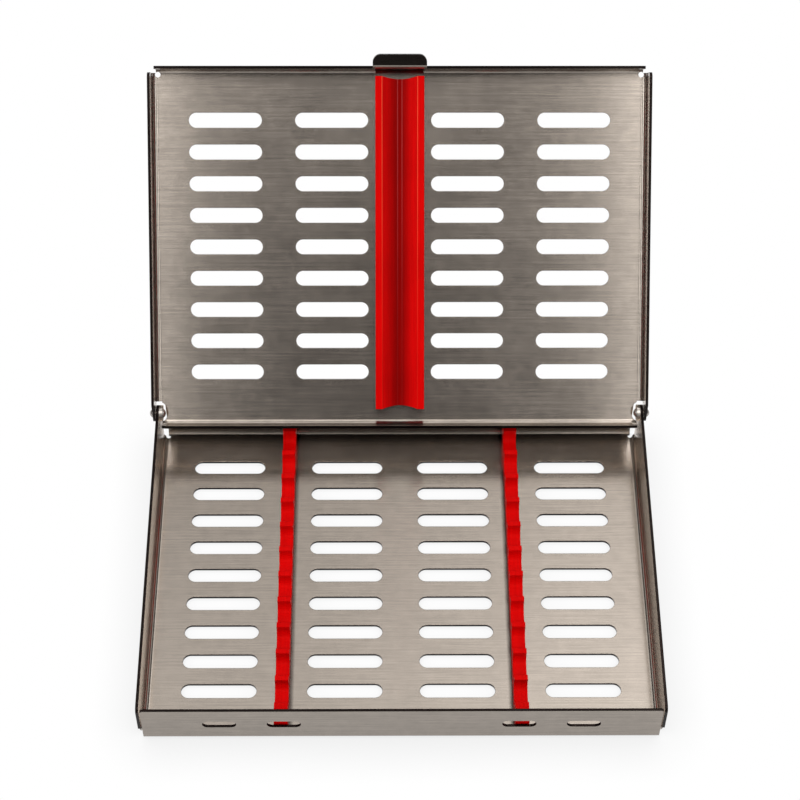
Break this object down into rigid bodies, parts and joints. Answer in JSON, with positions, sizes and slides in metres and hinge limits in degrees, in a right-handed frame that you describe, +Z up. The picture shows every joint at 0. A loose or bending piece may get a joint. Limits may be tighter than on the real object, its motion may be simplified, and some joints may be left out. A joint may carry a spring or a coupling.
{
  "type": "instrument cassette",
  "caption": "Open hinged cassette of perforated folded steel sheet, with notched red silicone rails in the tray and one wide rail in the lid, for washing hand instruments.",
  "frame": {"origin": "centre of the tray's underside", "axes": "+Z up, +Y from the tray's front wall towards the hinge, +X to the right seen from the front"},
  "size_m": [0.1836, 0.2153, 0.1196],
  "materials": {
    "tray_steel": "brushed",
    "lid_steel": "brushed",
    "hinge_steel": "satin",
    "strip_steel": "satin",
    "silicone": "satin"
  },
  "bodies": {
    "tray": {"base_tray": "tray_steel", "base_rail_left": "silicone", "base_rail_right": "silicone", "base_rail_strip_left": "strip_steel", "base_rail_strip_right": "strip_steel", "hinge_rivet_left": "hinge_steel", "hinge_rivet_right": "hinge_steel", "hinge_washer_left": "hinge_steel", "hinge_washer_right": "hinge_steel"},
    "lid": {"lid_cover": "lid_steel", "lid_rail": "silicone", "lid_rail_strip": "strip_steel"}
  },
  "joints": [
    {"name": "lid_hinge", "type": "hinge", "parent": "tray", "child": "lid", "pos_m": [0, 0.0581, 0.0212], "axis": [1, 0, 0], "range_deg": [0, 137.9]}
  ]
}
